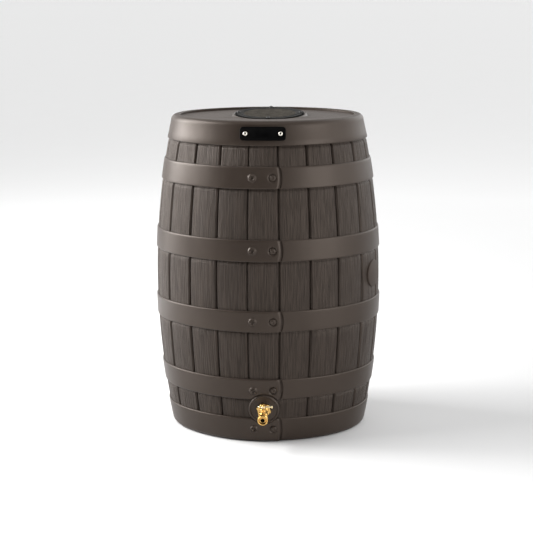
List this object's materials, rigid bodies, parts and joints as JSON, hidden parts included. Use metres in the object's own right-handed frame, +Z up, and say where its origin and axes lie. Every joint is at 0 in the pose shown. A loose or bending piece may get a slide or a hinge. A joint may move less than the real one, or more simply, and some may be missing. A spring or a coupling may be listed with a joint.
{
  "type": "rain barrel",
  "caption": "Oval moulded rain barrel styled as a hooped stave cask, with a screened inlet on top and a brass quarter-turn spigot low on the front.",
  "frame": {"origin": "middle of the flat base, on the surface the barrel stands on", "axes": "+Z up, -Y the front where the spigot and nameplate are, +X to the right seen from the front"},
  "size_m": [0.6122, 0.5643, 0.8624],
  "materials": {
    "barrel_plastic": "satin moulded polyethylene with wood grain",
    "screen_black": "matt",
    "screen_mesh": "fine woven mesh",
    "steel": "bright",
    "brass_insert": "turned",
    "nameplate_black": "satin",
    "rubber": "matt",
    "spigot_brass": "bright cast and machined",
    "ball_chrome": "polished",
    "white_seal": "matt",
    "nut_black": "matt"
  },
  "bodies": {
    "tank": {"barrel_shell": "barrel_plastic", "screen_frame": "screen_black", "screen_mesh": "screen_mesh", "mesh_clamp_ring": "screen_black", "screen_screws": "steel", "screen_inserts": "brass_insert", "nameplate": "nameplate_black", "nameplate_screws": "steel", "nameplate_inserts": "brass_insert", "outer_gasket": "rubber", "spigot_body": "spigot_brass", "spigot_outlet": "spigot_brass", "body_seal": "rubber", "valve_seats": "white_seal", "thrust_washer": "white_seal", "stem_packing": "white_seal", "packing_nut": "spigot_brass", "inner_gasket": "rubber", "bulkhead_nut": "nut_black"},
    "lever": {"valve_ball": "ball_chrome", "valve_stem": "spigot_brass", "lever_handle": "spigot_brass", "lever_screw": "steel"}
  },
  "joints": [
    {"name": "lever_turn", "type": "hinge", "parent": "tank", "child": "lever", "pos_m": [0, -0.26629, 0.09276], "axis": [0, -0.1515, 0.9885], "range_deg": [-90, 0]}
  ]
}
